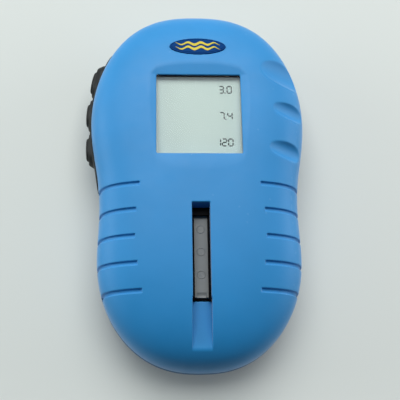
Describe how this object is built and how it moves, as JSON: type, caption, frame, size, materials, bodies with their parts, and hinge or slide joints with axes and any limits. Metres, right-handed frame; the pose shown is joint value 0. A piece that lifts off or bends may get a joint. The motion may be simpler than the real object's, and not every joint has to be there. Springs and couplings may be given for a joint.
{
  "type": "digital water tester",
  "caption": "Handheld pool test-strip reader: domed two-part case with a display window, a strip tray in a slot, grip grooves and side push buttons.",
  "frame": {"origin": "on the flat back face, on the case's centre plane, at the middle of the face features between the two ends of the outline", "axes": "+Y along the case towards the display end, +X to the right seen from the display side, +Z out of the display"},
  "size_m": [0.0907, 0.1519, 0.035],
  "materials": {
    "case_blue": "fine satin moulded plastic, mid blue",
    "case_deep_blue": "satin moulded plastic, deep blue",
    "seal_rubber": "matt black",
    "key_rubber": "satin black silicone",
    "clear": "clear hard-coated plastic",
    "badge_navy": "glossy navy with a pale wave line",
    "lcd": "pale grey-green liquid crystal cell",
    "black_plastic": "matt black moulded plastic",
    "tray_grey": "warm grey moulded plastic",
    "reflector": "bright foil",
    "elastomer": "pink silicone connector strip",
    "board_green": "green solder mask",
    "chip_black": "moulded package",
    "can_steel": "drawn can",
    "capacitor_sleeve": "blue sleeve",
    "led": "clear epoxy",
    "sensor": "dark epoxy",
    "ribbon": "amber film cable",
    "connector": "ivory housing",
    "plunger_red": "red actuator",
    "cell_sleeve": "plain sleeve, no marking",
    "nickel": "nickel-plated spring strip and wire",
    "wire_red": "insulated wire",
    "screw_steel": "zinc-plated"
  },
  "bodies": {
    "case": {"upper_case": "case_blue", "lower_case": "case_deep_blue", "case_seal": "seal_rubber", "display_window": "clear", "badge": "badge_navy", "display_panel": "lcd", "display_frame": "black_plastic", "display_reflector": "reflector", "elastomer_strips": "elastomer", "main_board": "board_green", "microcontroller": "chip_black", "crystal": "can_steel", "voltage_regulator": "chip_black", "capacitors": "capacitor_sleeve", "optics_window": "clear", "optics_block": "black_plastic", "optics_board": "board_green", "reader_leds": "led", "photodiodes": "sensor", "optics_cable": "ribbon", "tray_guide": "black_plastic", "keypad_surround": "key_rubber", "switch_bodies": "chip_black", "key_board": "board_green", "key_cable": "ribbon", "cable_connector": "connector", "battery_left": "cell_sleeve", "battery_right": "cell_sleeve", "battery_contacts": "nickel", "battery_springs": "nickel", "battery_leads": "wire_red", "case_screws": "screw_steel", "board_screws": "screw_steel"},
    "tray": {"strip_tray": "tray_grey"},
    "upper_key": {"upper_button": "key_rubber", "upper_plunger": "plunger_red"},
    "middle_key": {"middle_button": "key_rubber", "middle_plunger": "plunger_red"},
    "lower_key": {"lower_button": "key_rubber", "lower_plunger": "plunger_red"},
    "door": {"battery_door": "case_deep_blue"}
  },
  "joints": [
    {"name": "tray_slide", "type": "slide", "parent": "case", "child": "tray", "axis": [0, -1, 0], "range_m": [0, 0.062]},
    {"name": "door_hinge", "type": "hinge", "parent": "case", "child": "door", "pos_m": [0, 0.0098, 0.0009], "axis": [1, 0, 0], "range_deg": [0, 60]},
    {"name": "upper_key_press", "type": "slide", "parent": "case", "child": "upper_key", "axis": [0.9983, -0.0576, 0], "range_m": [0, 0.0004], "stiffness_N_per_m": 800},
    {"name": "middle_key_press", "type": "slide", "parent": "case", "child": "middle_key", "axis": [0.9983, -0.0576, 0], "range_m": [0, 0.0004], "stiffness_N_per_m": 800},
    {"name": "lower_key_press", "type": "slide", "parent": "case", "child": "lower_key", "axis": [0.9983, -0.0576, 0], "range_m": [0, 0.0004], "stiffness_N_per_m": 800}
  ]
}
